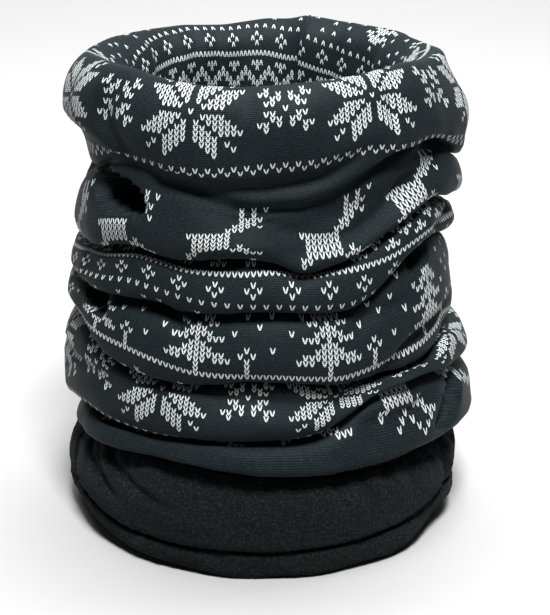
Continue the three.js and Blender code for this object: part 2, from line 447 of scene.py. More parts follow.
EMERGING_ROWS = (
    ((-180, 107), (-90, 108), (10, 108.5), (20, 107), (30, 105.5), (40, 104), (60, 103), (90, 105)),
    ((-180, 76.5), (-90, 73), (-60, 73), (-45, 73.5), (-30, 76.5), (-10, 75), (5, 74), (20, 73),
     (35, 74), (90, 75)),
    ((-180, 56.5), (-90, 56), (-40, 56), (-20, 54.3), (30, 54), (45, 50), (70, 50), (90, 54)),
    ((-180, 41.5), (-90, 40), (-60, 41), (-29, 42), (-20, 41), (-7, 40.2), (3, 41.5), (11, 43),
     (20, 41.8), (28, 40), (38, 37.3), (45, 36.5), (60, 37), (90, 40)),
    ((-180, 23), (-90, 23), (-30, 21), (-12, 23.5), (5, 25), (15, 24), (24, 22), (90, 22)),
)
ZIGZAG_ROW = 11.5
ZIGZAG_LINE = ((-180, 160), (-90, 160.5), (-63, 161.8), (-48, 160.8), (-36, 159), (-20, 158.6),
               (0, 159.6), (13, 161), (19, 162.7), (27, 164.7), (32, 165), (39, 163.8), (55, 163.8),
               (70, 159.8), (90, 157), (120, 157))
LIP_SHIFTS = (0, 6, 12, 18, 23)
EMERGING_SHIFTS = (0, 0, 6, 12, 18)
SEAM_LINE = ((-180, 42), (-150, 40), (-120, 37), (-90, 33), (-70, 38), (-50, 42), (-30, 44), (-10, 43),
             (10, 41), (30, 39.5), (50, 38), (70, 37), (90, 33), (120, 38), (150, 41))
FACES = (
    ((-180, 79), (-120, 78), (-90, 75.5), (-70, 78), (-50, 80), (-10, 80.5), (30, 80.5), (50, 82),
     (70, 84.5), (90, 85), (120, 82), (150, 80)),
    ((-180, 79), (-120, 80.5), (-90, 81), (-70, 80), (-50, 79.5), (50, 79), (70, 81), (90, 82.5),
     (120, 81)),
    ((-180, 79), (-150, 78), (-70, 78), (-50, 79), (30, 79), (50, 78), (70, 76), (90, 76), (150, 78)),
    ((-180, 78), (-150, 77), (-90, 76), (-50, 78), (30, 78), (50, 77), (70, 76), (90, 75.5), (150, 78)),
    ((-180, 78), (-150, 76), (-120, 74), (-90, 73), (-70, 75), (-50, 78), (30, 78), (50, 79),
     (70, 78.5), (90, 77.5), (150, 78)),
    ((-180, 77), (30, 77), (50, 77.5), (70, 78.5), (90, 78.5), (120, 77)),
)
RIM_RISE = ((-180, -4), (-165, -5.5), (-150, -5), (-120, -4), (-90, -2.5), (-70, -1), (-50, 0.5),
            (-30, -1), (10, -0.5), (30, 1), (50, 1.5), (70, 0), (90, -2), (120, -3.5), (150, -3),
            (163, -2.6), (170, -4.4))
RIM_ROWS = ((-180, -26.5), (-150, -27.5), (-120, -24), (-105, -19), (-90, -12.5), (-70, -9),
            (-50, -7), (-30, -6), (50, -6), (70, -7), (90, -9), (120, -17), (150, -22))
SPAN_SAMPLES = 14

# Soft creases of the wall: width in mm, then angle, height and depth at points along each.
CREASES = (
    (3.4, ((-30, 153, 1.5), (-18, 152.5, 4), (0, 152.5, 4.5), (11, 154.5, 4.5), (18, 157.5, 4),
           (23, 161, 3), (29, 165.5, 1.5), (36, 169, 0))),
    (4.5, ((-45, 189, 1), (-49, 180, 2.5), (-50, 173, 3), (-43, 165, 2.5), (-36, 161, 2),
           (-28, 159.5, 0))),
    (2.2, ((38, 192, 1.2), (38, 182, 2), (37, 168, 1.6), (36, 163, 0))),
    (2.2, ((-4, 190, 1.0), (-3.5, 183, 1.5), (-6, 177, 0))),
    (3.4, ((4, 133, 0), (9, 130, 3), (19, 132.5, 4.5), (28, 135.5, 5), (37, 141, 5), (44, 147, 4),
           (50, 149, 0))),
    (6.5, ((6, 137, 2), (18, 139.5, 5.5), (28, 143, 6.5), (38, 147.5, 6.5), (48, 151.5, 6),
           (58, 155, 4), (66, 157, 0))),
    (3.0, ((-12, 139, 0), (-6, 139, 2.5), (3, 138, 3), (12, 136, 2))),
    (3.0, ((-36, 108, 1.5), (-29, 106, 3), (-24, 101, 2.6), (-21, 95, 1), (-20, 90, 0))),
    (2.6, ((24, 97, 0), (27, 99, 2), (31, 102, 2.6), (37, 103, 2.6), (44, 104, 1.6), (50, 106, 0))),
    (4.5, ((-20, 75, 0), (-10, 74, 2.5), (0, 73, 3.5), (10, 71.5, 4), (22, 70, 4.5), (32, 73, 3),
           (40, 76, 0))),
    (2.6, ((33, 61, 1), (31, 56, 2.2), (31, 52, 2), (35, 48, 0))),
    (4.0, ((-70, 120, 0), (-62, 112, 2), (-50, 114, 2), (-38, 117, 1.6), (-26, 117, 0))),
    (3.5, ((-84, 60, 2), (-70, 66, 2), (-55, 68, 1.5), (-42, 68, 0))),
)
# Sharp fold edges, steep on the upper side: width, then angle, height and depth.
FOLDS = (
    (3.6, ((33, 79, 0), (37, 82, 2.5), (43, 87.5, 4), (50, 91, 4), (66, 94, 3.5), (78, 95, 0))),
    (3.4, ((20, 61, 0), (30, 61, 2.2), (42, 61, 2.8), (50, 62.5, 2.4), (55, 66, 0))),
    (3.0, ((54, 131, 0), (60, 130, 3), (70, 131, 3.5), (80, 134, 0))),
    (2.6, ((-92, 70, 0), (-78, 72, 2.5), (-64, 72, 2.5), (-54, 73, 0))),
)
# Mouths of deep folds seen end on: angle, height, half width and half height, depth, slant.
POCKETS = (
    (-46, 145, 16.0, 6.6, 20, -0.12),
    (-58, 100.5, 10, 4.0, 9, -0.25),
    (52, 118.5, 7, 3.2, 9, 0.25),
    (63, 56, 12, 5.0, 10, 0.45),
)
# Upright pleats of the turned-in wall: angle, depth, steep and long side, lowest height.
PLEATS = (
    (163, 6.0, 1.3, 15.0, 150),
    (-153, 1.8, 2.2, 5.0, 165),
    (-163, 1.5, 2.0, 4.0, 168),
    (-142, 1.8, 2.4, 5.0, 165),
    (143, 2.0, 2.4, 6.0, 150),
    (120, 2.2, 3.0, 6.0, 150),
    (-120, 2.0, 6.0, 3.0, 150),
)
MM_PER_DEGREE = 1.36   # round the wall, for the widths of creases


def level(angles, line):
    """Value round the tube of a line given as angle and value pairs."""
    knots, values = zip(*line)
    return closed_curve(angles, knots, values)


def near_line(angles, heights, line):
    """For each point: how far it lies from a line of angles, heights and depths, in mm,
    whether it is above it, and the depth at the nearest place."""
    best = np.full(heights.shape, np.inf)
    depth, above = np.zeros(heights.shape), np.zeros(heights.shape)
    x = angles[:, None] * MM_PER_DEGREE
    for (a0, z0, d0), (a1, z1, d1) in zip(line, line[1:]):
        ax, az = (a1 - a0) * MM_PER_DEGREE, z1 - z0
        px, pz = x - a0 * MM_PER_DEGREE, heights - z0
        t = np.clip((px * ax + pz * az) / (ax * ax + az * az), 0, 1)
        gap = np.hypot(px - t * ax, pz - t * az)
        closer = gap < best
        best = np.where(closer, gap, best)
        depth = np.where(closer, d0 + t * (d1 - d0), depth)
        above = np.where(closer, (pz * ax - px * az) > 0, above)
    return best, above, depth


def creased(angles, heights, creases):
    """Depth of soft creases: each falls away from its line like a bell, over its width."""
    drawn = np.zeros(heights.shape)
    for width, line in creases:
        gap, _, depth = near_line(angles, heights, line)
        drawn += depth * np.exp(-((gap / width) ** 2))
    return drawn


def relief(angles, heights):
    """How far local creases, fold edges and pocket mouths draw the wall in, in mm."""
    drawn = creased(angles, heights, CREASES)
    for width, line in FOLDS:
        gap, above, depth = near_line(angles, heights, line)
        drawn += depth * np.exp(-((gap / np.where(above, width * 0.3, width * 1.3)) ** 2))
    for angle, height, wide, high, depth, slant in POCKETS:
        x = (angles[:, None] - angle) * MM_PER_DEGREE
        z = heights - height - slant * x
        drawn += depth * (1 - ease(0.72, 1.08, np.hypot(x / wide, z / high)))
    return drawn


def pleats(angles, heights):
    """Upright pleats of the turned-in wall: a steep side and a long side, fading downwards."""
    drawn = np.zeros(heights.shape)
    for angle, depth, steep, long, low in PLEATS:
        off = (angles[:, None] - angle + 180) % 360 - 180 + 0.12 * (heights - 170)
        side = np.where(off > 0, off / steep, -off / long)
        drawn += depth * np.exp(-(side**2)) * ease(low - 25, low, heights)
    return drawn


def tube_stations(angles):
    """Stations of the folded wall at each angle, from the seam up the outside, in and out
    of each crease, over the rim and down inside, and the fabric rows that lie on some."""
    faces = [level(angles, line) for line in FACES]
    seam = level(angles, SEAM_LINE)
    rim_rows = level(angles, RIM_ROWS)
    back = (rim_rows.max() - rim_rows) / (rim_rows.max() - rim_rows.min())
    stations = [(SEAM_RADIUS - 0.6, seam + 0.8)]
    anchors = [(0, SEAM_ROW)]
    low = seam
    for k, line in enumerate(LIPS):
        lip, depth = level(angles, line), level(angles, LIP_DEPTHS[k])
        face, above = faces[k], faces[k + 1]
        rise, nearer = lip - low, np.minimum(face, above)
        taper = 8.5 * bump(angles, -84, 28) if k == len(LIPS) - 1 else 0
        hard = ease(4, 13, depth)
        tucked, throat = nearer - 2 - 3.5 * hard, nearer - depth
        stations += [
            (face + 0.2, low + 0.24 * rise),
            (face - 0.4, low + 0.48 * rise),
            (face - 2.6, low + 0.76 * rise),
            (tucked, lip - 2.6 - 1.5 * (1 - hard)),
        ]
        anchors.append((len(stations) - 1, level(angles, EMERGING_ROWS[k]) - EMERGING_SHIFTS[k] * back))
        stations += [
            ((tucked + throat) / 2, lip - 0.8),
            (throat, lip + 1.2),
            ((tucked + throat) / 2, lip + 1.6 + 2 * (1 - hard)),
            (above - 2.4 + 0.8 * (1 - hard) - taper, lip + 0.2 + 6 * (1 - hard)),
        ]
        rows = level(angles, LIP_ROWS[k]) - LIP_SHIFTS[k] * back
        anchors.append((len(stations) - 1, rows))
        low = lip
    rim = RIM_HEIGHT + level(angles, RIM_RISE) - 0.5
    collar, inner = faces[-1], OPENING_RADIUS - 1.4
    zigzag = np.maximum(level(angles, ZIGZAG_LINE), low + 2.5)
    rolled = bump(angles, -85, 50) + bump(angles, 85, 50)
    stations += [
        (collar - 0.8 - 4.5 * bump(angles, -80, 30), zigzag),
        (collar, zigzag + 0.45 * (rim - 14 - zigzag)),
        (collar - 0.4 - 3.5 * bump(angles, 88, 34), rim - 14),
        (collar - 3.4 - 4.5 * bump(angles, 88, 34), rim - 5.8),
        ((collar + inner) / 2 + 0.6, rim),
        (inner + 3.0 - 0.8 * rolled, rim - 4.2),
        (inner + 0.2 - 3.4 * rolled, rim - 13),
        (inner - 0.6 - 2.6 * rolled, rim - 30),
        (inner + 0.4, HEM_HEIGHT + 22),
        (inner + 0.8, HEM_HEIGHT),
    ]
    anchors.append((len(stations) - 10, ZIGZAG_ROW - LIP_SHIFTS[-1] * back))
    anchors.append((len(stations) - 6, rim_rows))
    anchors.append((len(stations) - 1, FREE_ROW))
    return stack(stations, len(angles)), [(s, -np.asarray(rows)) for s, rows in anchors]


def tube_points(angles, rows):
    """Radius and height of every stitch corner: rows laid along the folded wall, with
    tucks, pleats and small unevenness added."""
    stations, anchors = tube_stations(angles)
    laid = on_rows(through(stations, SPAN_SAMPLES), SPAN_SAMPLES, anchors, -rows)
    radius, height = laid[..., 0], laid[..., 1]
    around, down = angles[:, None], rows[None, :]
    outside = ease(-4, 4, down - level(angles, RIM_ROWS)[:, None])
    shown = ease(60, 68, radius) * outside
    radius -= relief(angles, height) * shown
    radius -= pleats(angles, height) * (1 - outside)
    radius += 0.9 * waves(around, down * 2.3, 7, 24, 90, 22)
    height += 0.7 * waves(around, down * 2.3, 11, 18, 120, 40)
    radius += 0.22 * waves(around, down * 2.3, 5, 30, 26, 9) * outside
    return np.where(outside > 0.5, np.maximum(radius, OPENING_RADIUS + 2.5), radius), height


def build_printed_tube(settings):
    """The jersey tube as a grid of one quad for each printed stitch."""
    angles = ring_angles(COLUMNS)
    rows = np.arange(SEAM_ROW, FREE_ROW - 2, -1).astype(float)
    radius, height = tube_points(angles, rows)
    points = turned(angles[:, None] + np.zeros_like(radius), radius, height)
    piece = new_object("printed_jersey_tube", points, grid_faces(COLUMNS, len(rows)), "knit_print")
    piece.data.materials.append(bpy.data.materials["knit_reverse"])
    cells = len(rows) - 1
    column = np.repeat(np.arange(COLUMNS), cells)
    row = np.tile(np.arange(cells), COLUMNS)
    corner_u = column[:, None] + np.array((0, 1, 1, 0))[None, :]
    corner_v = row[:, None] + np.array((0, 0, 1, 1))[None, :]
    layer = piece.data.uv_layers.new(name="stitches")
    layer.data.foreach_set("uv", np.stack([corner_u, corner_v], -1).astype(np.float32).ravel())
    laid = points.reshape(COLUMNS, len(rows), 3)
    pitch = np.linalg.norm(np.diff(laid, axis=1), axis=-1)
    span = np.linalg.norm(np.roll(laid, -1, axis=0) - laid, axis=-1)[:, :cells]
    whole = (pitch < MOST_TALL * STITCH_HEIGHT) & (span < MOST_WIDE * STITCH_HEIGHT)
    chart = knitting_chart()[:, :cells] * whole
    above = np.roll(chart, -1, axis=1)
    for name, marks in (("printed", chart), ("printed_above", above)):
        attribute = piece.data.attributes.new(name, "FLOAT", "FACE")
        attribute.data.foreach_set("value", np.ascontiguousarray(marks).ravel())
    solidify(piece, settings.jersey_thickness, -1)
    piece.modifiers["thickness"].material_offset = 1
    apply_modifiers(piece)
    return piece


# ---- materials -------------------------------------------------------------------------

class Nodes:
    """Short hand for adding nodes to a tree and joining them."""

    def __init__(self, tree):
        self.tree = tree
        self.tree.nodes.clear()

    def add(self, kind, inputs=None, **settings):
        node = self.tree.nodes.new(kind)
        for key, value in settings.items():
            setattr(node, key, value)
        for key, value in (inputs or {}).items():
            if isinstance(value, bpy.types.NodeSocket):
                self.tree.links.new(value, node.inputs[key])
            else:
                node.inputs[key].default_value = value
        return node

    def math(self, operation, a, b=0.0, c=0.0):
        """Math node's value."""
        node = self.add("ShaderNodeMath", {0: a, 1: b, 2: c}, operation=operation)
        return node.outputs[0]

    def step(self, low, high, value):
        """Smooth step of a value from 0 at low to 1 at high."""
        node = self.add(
            "ShaderNodeMapRange",
            {"Value": value, "From Min": low, "From Max": high},
            interpolation_type="SMOOTHSTEP",
        )
        return node.outputs["Result"]

    def mix(self, share, first, second):
        """Colour between two others."""
        node = self.add("ShaderNodeMix", {"Factor": share}, data_type="RGBA")
        for socket, value in ((node.inputs[6], first), (node.inputs[7], second)):
            if isinstance(value, bpy.types.NodeSocket):
                self.tree.links.new(value, socket)
            else:
                socket.default_value = (*value[:3], 1.0)
        return node.outputs[2]

    def noise(self, vector, scale, detail=2.0, roughness=0.5):
        """Noise value over a vector."""
        inputs = {"Vector": vector, "Scale": scale, "Detail": detail, "Roughness": roughness}
        return self.add("ShaderNodeTexNoise", inputs).outputs["Fac"]


def lint_group():
    """Node group: specks of light lint and soft uneven tone over a base colour."""
    group = bpy.data.node_groups.new("lint_and_tone", "ShaderNodeTree")
    face = group.interface
    face.new_socket("Base", in_out="INPUT", socket_type="NodeSocketColor")
    face.new_socket("Lint", in_out="INPUT", socket_type="NodeSocketColor")
    face.new_socket("Amount", in_out="INPUT", socket_type="NodeSocketFloat")
    face.new_socket("Tone", in_out="INPUT", socket_type="NodeSocketFloat")
    face.new_socket("Color", in_out="OUTPUT", socket_type="NodeSocketColor")
    n = Nodes(group)
    given = n.add("NodeGroupInput")
    place = n.add("ShaderNodeTexCoord").outputs["Object"]
    blotch = n.noise(place, 55.0, 3.0)
    tone = n.math("MULTIPLY_ADD", n.math("SUBTRACT", blotch, 0.5), given.outputs["Tone"], 1.0)
    toned = n.add("ShaderNodeVectorMath", {0: given.outputs["Base"]}, operation="SCALE")
    group.links.new(tone, toned.inputs["Scale"])
    speck = n.step(0.72, 0.80, n.noise(place, 1500.0, 1.0))
    share = n.math("MULTIPLY", speck, given.outputs["Amount"])
    mixed = n.mix(share, toned.outputs[0], given.outputs["Lint"])
    n.add("NodeGroupOutput", {"Color": mixed})
    return group


def new_material(name):
    """Nodes of a new empty material."""
    material = bpy.data.materials.new(name)
    material.use_nodes = True
    return Nodes(material.node_tree)


def finish_surface(n, inputs, height, strength, distance):
    """Principled surface with a bump, as the material's output."""
    bump_node = n.add("ShaderNodeBump", {"Height": height, "Strength": strength, "Distance": distance})
    shader = n.add("ShaderNodeBsdfPrincipled", {**inputs, "Normal": bump_node.outputs["Normal"]})
    n.add("ShaderNodeOutputMaterial", {"Surface": shader.outputs["BSDF"]})


def linted(n, group, base, lint, amount, tone):
    """Base colour passed through the lint group."""
    node = n.add("ShaderNodeGroup", node_tree=group)
    values = {"Base": base, "Lint": (*lint, 1.0), "Amount": amount, "Tone": tone}
    for key, value in values.items():
        if isinstance(value, bpy.types.NodeSocket):
            n.tree.links.new(value, node.inputs[key])
        else:
            node.inputs[key].default_value = (*value, 1.0) if key == "Base" else value
    return node.outputs["Color"]


def stitch_mask(n, across, up):
    """Mask of one knitted V in its cell: two slanted ellipses that meet at the bottom."""
    side = n.math("ABSOLUTE", n.math("SUBTRACT", across, 0.5))
    x = n.math("SUBTRACT", side, 0.205)
    y = n.math("SUBTRACT", up, 0.42)
    lean_x, lean_y = 0.27, 0.963
    along = n.math("ADD", n.math("MULTIPLY", x, lean_x), n.math("MULTIPLY", y, lean_y))
    over = n.math("SUBTRACT", n.math("MULTIPLY", x, lean_y), n.math("MULTIPLY", y, lean_x))
    a = n.math("POWER", n.math("ABSOLUTE", n.math("DIVIDE", along, 0.60)), 2.4)
    b = n.math("POWER", n.math("ABSOLUTE", n.math("DIVIDE", over, 0.118)), 2.0)
    return n.math("SUBTRACT", 1.0, n.step(0.72, 1.18, n.math("ADD", a, b)))


def make_printed_jersey(settings, lint):
    """Near black jersey with fine cross ribs and white printed stitches. The ribs are painted: a
    painted highlight on the ground and painted shade on the print.
    """
    n = new_material("knit_print")
    uv = n.add("ShaderNodeUVMap", uv_map="stitches").outputs["UV"]
    split = n.add("ShaderNodeSeparateXYZ", {"Vector": uv})
    u, v = split.outputs["X"], split.outputs["Y"]
    across, up = n.math("FRACT", u), n.math("FRACT", v)
    own = n.add("ShaderNodeAttribute", attribute_name="printed").outputs["Fac"]
    upper = n.add("ShaderNodeAttribute", attribute_name="printed_above").outputs["Fac"]
    here = n.math("MULTIPLY", own, stitch_mask(n, across, up))
    tip = n.math("MULTIPLY", upper, stitch_mask(n, across, n.math("SUBTRACT", up, 1.0)))
    mask = n.math("MAXIMUM", here, tip)
    stretch = n.add("ShaderNodeMapping", {"Vector": uv, "Scale": (1.6, 9.0, 1.0)}).outputs[0]
    streak = n.noise(stretch, 1.0, 2.0)
    rib = n.math("SINE", n.math("MULTIPLY", v, 2 * math.pi * 2.6))
    rib = n.math("MULTIPLY_ADD", rib, 0.5, 0.5)
    # fine: the rib marks, broken up by streaks; they carry the painted highlight and painted shade of
    # the ribs
    fine = n.math("MULTIPLY", rib, n.step(0.35, 0.75, streak))
    # painted highlight: the ground lightens to the rib colour along the rib marks, where light would
    # catch the rib tops
    base = n.mix(n.math("MULTIPLY", fine, 0.85), settings.jersey_colour, settings.rib_colour)
    # painted shade: the print darkens towards the print shade along the rib marks
    ink = n.mix(n.math("MULTIPLY", fine, 0.35), settings.print_colour, settings.print_shade)
    # painted shade: the print thins along the rib marks, so the darker ground shows through
    rib_shaded_print = n.math("MULTIPLY", mask, n.math("SUBTRACT", 1.0, n.math("MULTIPLY", fine, 0.12)))
    colour = n.mix(rib_shaded_print, base, ink)
    colour = linted(n, lint, colour, (0.30, 0.33, 0.34), 0.10, 0.5)
    height = n.math("MULTIPLY_ADD", mask, 0.5, n.math("MULTIPLY", rib, 0.5))
    roughness = n.math("MULTIPLY_ADD", mask, 0.10, 0.56)
    inputs = {"Base Color": colour, "Roughness": roughness, "Sheen Weight": 0.02}
    inputs |= {"Sheen Roughness": 0.45, "Sheen Tint": (0.75, 0.85, 0.9, 1.0)}
    inputs |= {"Specular IOR Level": 0.05}
    finish_surface(n, inputs, height, 0.35, 0.0004)


def make_jersey_back(settings, lint):
    """Unprinted reverse of the jersey: the same yarn with a flatter rib."""
    n = new_material("knit_reverse")
    uv = n.add("ShaderNodeUVMap", uv_map="stitches").outputs["UV"]
    stretch = n.add("ShaderNodeMapping", {"Vector": uv, "Scale": (2.0, 5.0, 1.0)}).outputs[0]
    streak = n.noise(stretch, 1.0, 2.0)
    # the reverse lightens to the rib colour along stretched streaks: the painted highlight of its
    # flatter rib
    base = n.mix(streak, settings.jersey_colour, settings.rib_colour)
    colour = linted(n, lint, base, (0.30, 0.33, 0.34), 0.12, 0.4)
    inputs = {"Base Color": colour, "Roughness": 0.85, "Specular IOR Level": 0.2}
    finish_surface(n, inputs, streak, 0.3, 0.0003)


def make_fleece(settings, lint):
    """Brushed pile: small clumps of nap at two scales, matt, with a soft sheen. The clump tips get a
    painted highlight and the depths painted shade.
    """
    n = new_material("fleece_pile")
    place = n.add("ShaderNodeTexCoord").outputs["Object"]
    clump = n.add("ShaderNodeTexVoronoi", {"Vector": place, "Scale": 1000.0, "Randomness": 1.0})
    clump.feature = "SMOOTH_F1"
    curl = n.noise(place, 1300.0, 3.0, 0.6)
    soft = n.noise(place, 160.0, 2.0)
    nap = n.math("MULTIPLY", n.math("SUBTRACT", 1.0, clump.outputs["Distance"]), curl)
    # painted highlight and shade: clump tips lighter, the depths between them darker, mixed with a soft
    # random tone
    lit = n.step(0.22, 0.62, nap)
    tone = n.math("MULTIPLY", lit, n.math("MULTIPLY_ADD", soft, 0.8, 0.5))
    base = n.mix(tone, settings.fleece_shade, settings.fleece_colour)
    colour = linted(n, lint, base, (0.25, 0.28, 0.29), 0.06, 0.35)
    inputs = {"Base Color": colour, "Roughness": 0.95, "Sheen Weight": 0.03}
    inputs |= {"Sheen Roughness": 0.6, "Sheen Tint": (0.7, 0.8, 0.85, 1.0)}
    inputs |= {"Specular IOR Level": 0.05}
    finish_surface(n, inputs, n.math("ADD", nap, n.math("MULTIPLY", soft, 0.6)), 0.9, 0.0009)


def make_thread(settings, lint):
    """Twisted polyester thread."""
    n = new_material("twisted_thread")
    place = n.add("ShaderNodeTexCoord").outputs["Object"]
    twist = n.add("ShaderNodeTexWave", {"Vector": place, "Scale": 900.0, "Distortion": 1.5})
    ply = twist.outputs["Fac"]
    # painted shade: the thread darkens to the fleece shade in the grooves of its twist
    base = n.mix(ply, settings.fleece_shade, settings.thread_colour)
    colour = linted(n, lint, base, (0.3, 0.3, 0.3), 0.05, 0.3)
    inputs = {"Base Color": colour, "Roughness": 0.55, "Specular IOR Level": 0.35}
    finish_surface(n, inputs, ply, 0.6, 0.0002)


def make_label_tape(settings, lint):
    """Plain white satin tape with fine cross threads."""
    n = new_material("satin_tape")
    place = n.add("ShaderNodeTexCoord").outputs["Object"]
    wave = n.add("ShaderNodeTexWave", {"Vector": place, "Scale": 1400.0, "Distortion": 0.4})
    wave.bands_direction = "Z"
    weave = wave.outputs["Fac"]
    # painted shade: the tape darkens by a tenth along the bands of its cross threads
    base = n.mix(weave, settings.label_colour, tuple(0.9 * c for c in settings.label_colour))
    colour = linted(n, lint, base, (0.4, 0.4, 0.4), 0.04, 0.08)
    inputs = {"Base Color": colour, "Roughness": 0.42, "Specular IOR Level": 0.4}
    finish_surface(n, inputs, weave, 0.25, 0.0001)


# ---- the fleece band -------------------------------------------------------------------

FLEECE_COLUMNS = 360
HEM_RISE = 7.4         # how far the lowest line lifts off the ground at either side, in mm
# Creases that run down from the seam: width in mm, then angle, height and depth.
FLEECE_CREASES = (
    (2.6, ((-68, 42, 2), (-60, 34, 3.4), (-51, 27, 2.8), (-42, 21, 0))),
    (2.6, ((-78, 40, 1), (-75, 30, 3), (-72, 22, 2.4), (-68, 14, 0))),
    (2.2, ((-54, 41, 1.5), (-43, 33, 2.4), (-31, 28, 1.6), (-20, 25, 0))),
    (3.0, ((60, 38, 1), (65, 31, 3), (68, 23, 3), (65, 15, 0))),
    (2.4, ((78, 36, 1), (81, 28, 2.6), (81, 18, 0))),
    (2.8, ((20, 40, 0.5), (28, 33, 1.4), (38, 29, 0))),
)


def seam_height(angles):
    """Height of the groove between print and fleece."""
    return level(angles, SEAM_LINE)


def hem_height(angles):
    """Height of the lowest line of the fleece: on the ground in front and behind."""
    side = np.abs(np.sin(np.radians(angles)))
    return HEM_RISE * ease(0.62, 1.0, side)


def outer_edge(angles):
    """Height of the lower edge of the outer fleece."""
    return OUTER_EDGE + 0.55 * hem_height(angles) + 1.2 * bump(angles, 45, 30)


def full_radius(angles):
    """Widest radius of the fleece band."""
    return FLEECE_RADIUS + 0.4 * np.cos(np.radians(2 * angles))


def section(points, samples):
    """Closed smooth outline through stations, for all columns at once."""
    wrapped = np.concatenate([points[:, -2:], points, points[:, :3]], axis=1)
    curve = through(wrapped, samples)
    return curve[:, 2 * samples : -3 * samples]


def pile(angles, along, seed):
    """Height of brushed pile: clumps a few millimetres long with finer nap between."""
    clumps = waves(angles, along, seed, 60, 9, 3.2)
    nap = waves(angles, along, seed + 1, 60, 3.4, 2.2)
    return 0.10 * clumps + 0.05 * nap


def pucker(angles, share, seed):
    """Vertical creases that radiate from the seam and die out downwards."""
    total = np.zeros(np.broadcast(angles, share).shape)
    rng = np.random.default_rng(seed)
    for centre in np.arange(-180, 180, 7.5):
        middle = centre + rng.uniform(-2.5, 2.5)
        lean = rng.uniform(-9, 9)
        depth = rng.uniform(0.25, 1.0)
        reach = rng.uniform(0.35, 0.95)
        line = bump(angles, middle + lean * share, rng.uniform(1.2, 2.6))
        total -= depth * line * (1 - ease(0.1 * reach, reach, share))
    return total


def fleece_ring(name, angles, outline):
    """Closed ring of fleece from an outline of radius and height at each angle."""
    points = turned(angles[:, None], outline[..., 0], outline[..., 1])
    faces = grid_faces(outline.shape[0], outline.shape[1], closed_rows=True)
    return new_object(name, points, faces, "fleece_pile")


def push_out(outline, amount):
    """Moves an outline along its own normal in the radius and height plane."""
    ahead = np.roll(outline, -1, axis=1) - np.roll(outline, 1, axis=1)
    length = np.linalg.norm(ahead, axis=2, keepdims=True) + 1e-9
    normal = np.stack([ahead[..., 1], -ahead[..., 0]], axis=-1) / length
    return outline + normal * amount[..., None]


def build_fleece_outer(settings):
    """Outer fleece: one layer that hangs from the seam to a soft rounded lower edge."""
    angles = ring_angles(FLEECE_COLUMNS)
    thick = settings.fleece_thickness / MM
    top = seam_height(angles) - 1.0
    low = outer_edge(angles)
    rise = top - low
    full = full_radius(angles)
    outside = [
        (full - 1.6, low + 0.3),
        (full - 0.2, low + 1.6),
        (full + 0.3, low + 0.25 * rise),
        (full, low + 0.5 * rise),
        (full - 1.2, low + 0.72 * rise),
        (full - 3.6, low + 0.89 * rise),
        (SEAM_RADIUS + 0.3, top),
    ]
    inside = [(r - thick, z - 0.2) for r, z in reversed(outside)]
    outline = section(stack(outside + inside, len(angles)), 9)
    count = outline.shape[1]
    share = np.clip((top[:, None] - outline[..., 1]) / rise[:, None], 0, 1)
    along = np.arange(count)[None, :] * 1.0
    outer_face, inner_relief = 0.55, 0.25
    shown = np.where(np.arange(count) < count * outer_face, 1.0, inner_relief)[None, :]
    turned_angles = angles[:, None] + 0 * along
    bulge = 0.9 * waves(turned_angles, share * 30, 21, 20, 70, 18) * (0.25 + share * (1 - share) * 3)
    bulge += 1.5 * pucker(turned_angles, share, 5) * settings.crease_strength
    bulge += 1.2 * pile(turned_angles, along, 31)
    bulge -= creased(angles, outline[..., 1], FLEECE_CREASES)
    return fleece_ring("fleece_outer_band", angles, push_out(outline, bulge * shown))


def build_fleece_lining():
    """Fleece lining: gathered inside, its lower edge rolled out under the outer fleece."""
    angles = ring_angles(FLEECE_COLUMNS)
    hem = hem_height(angles)
    top = seam_height(angles) - 2.4
    low = outer_edge(angles)
    full = full_radius(angles)
    inner = LINING_INNER
    lip = low - hem
    stations = [
        (inner + 5, hem + 0.4),
        (full - 6, hem + 0.2),
        (full - 1.4, hem + 0.22 * lip),
        (full - 0.6, hem + 0.52 * lip),
        (full - 1.8, hem + 0.84 * lip),
        (full - 4.6, low + 0.2),
        (full - 4.9, low + 0.4 * (top - low)),
        (full - 6.4, low + 0.75 * (top - low)),
        (SEAM_RADIUS - 4.4, top + 0.2),
        (inner + 5, top + 1.6),
        (inner + 1, top - 2.5),
        (inner, hem + 0.55 * (top - hem)),
        (inner + 0.6, hem + 5),
    ]
    outline = section(stack(stations, len(angles)), 7)
    count = outline.shape[1]
    along = np.arange(count)[None, :] * 1.0
    turned_angles = angles[:, None] + 0 * along
    low_part = (outline[..., 1] < low[:, None] - 1.5) | (outline[..., 0] < inner + 6)
    shown = ease(0, 1, low_part.astype(float))
    bulge = 1.3 * pile(turned_angles, along, 41) + 1.0 * waves(turned_angles, along, 43, 16, 60, 16)
    outline = push_out(outline, bulge * (0.15 + 0.85 * shown))
    outline[..., 1] = np.maximum(outline[..., 1], 0.0)
    return fleece_ring("fleece_lining_ring", angles, outline)


# ---- threads and label -----------------------------------------------------------------

HEM_STITCHES = 180
STEPS_PER_STITCH = 8
BEAD_SIDES = 8


def stitch_angles(stitches):
    """Angles of the points along a ring of stitches."""
    count = stitches * STEPS_PER_STITCH
    return np.arange(count) * 360 / count


def overlock(name, stitches, radius, height, sway, size):
    """Overlocked ring: a bead that sways in radius and height, with a ridge at every stitch."""
    angles = stitch_angles(stitches)
    stitch = np.radians(angles) * stitches
    radii = radius + sway[0] * np.sin(stitch)
    centre = turned(angles, radii, height + sway[1] * np.cos(stitch))
    thickness = (size + 0.14 * np.sin(stitch + 1.0)) * MM
    return bead(name, centre, thickness, BEAD_SIDES, "twisted_thread", True)


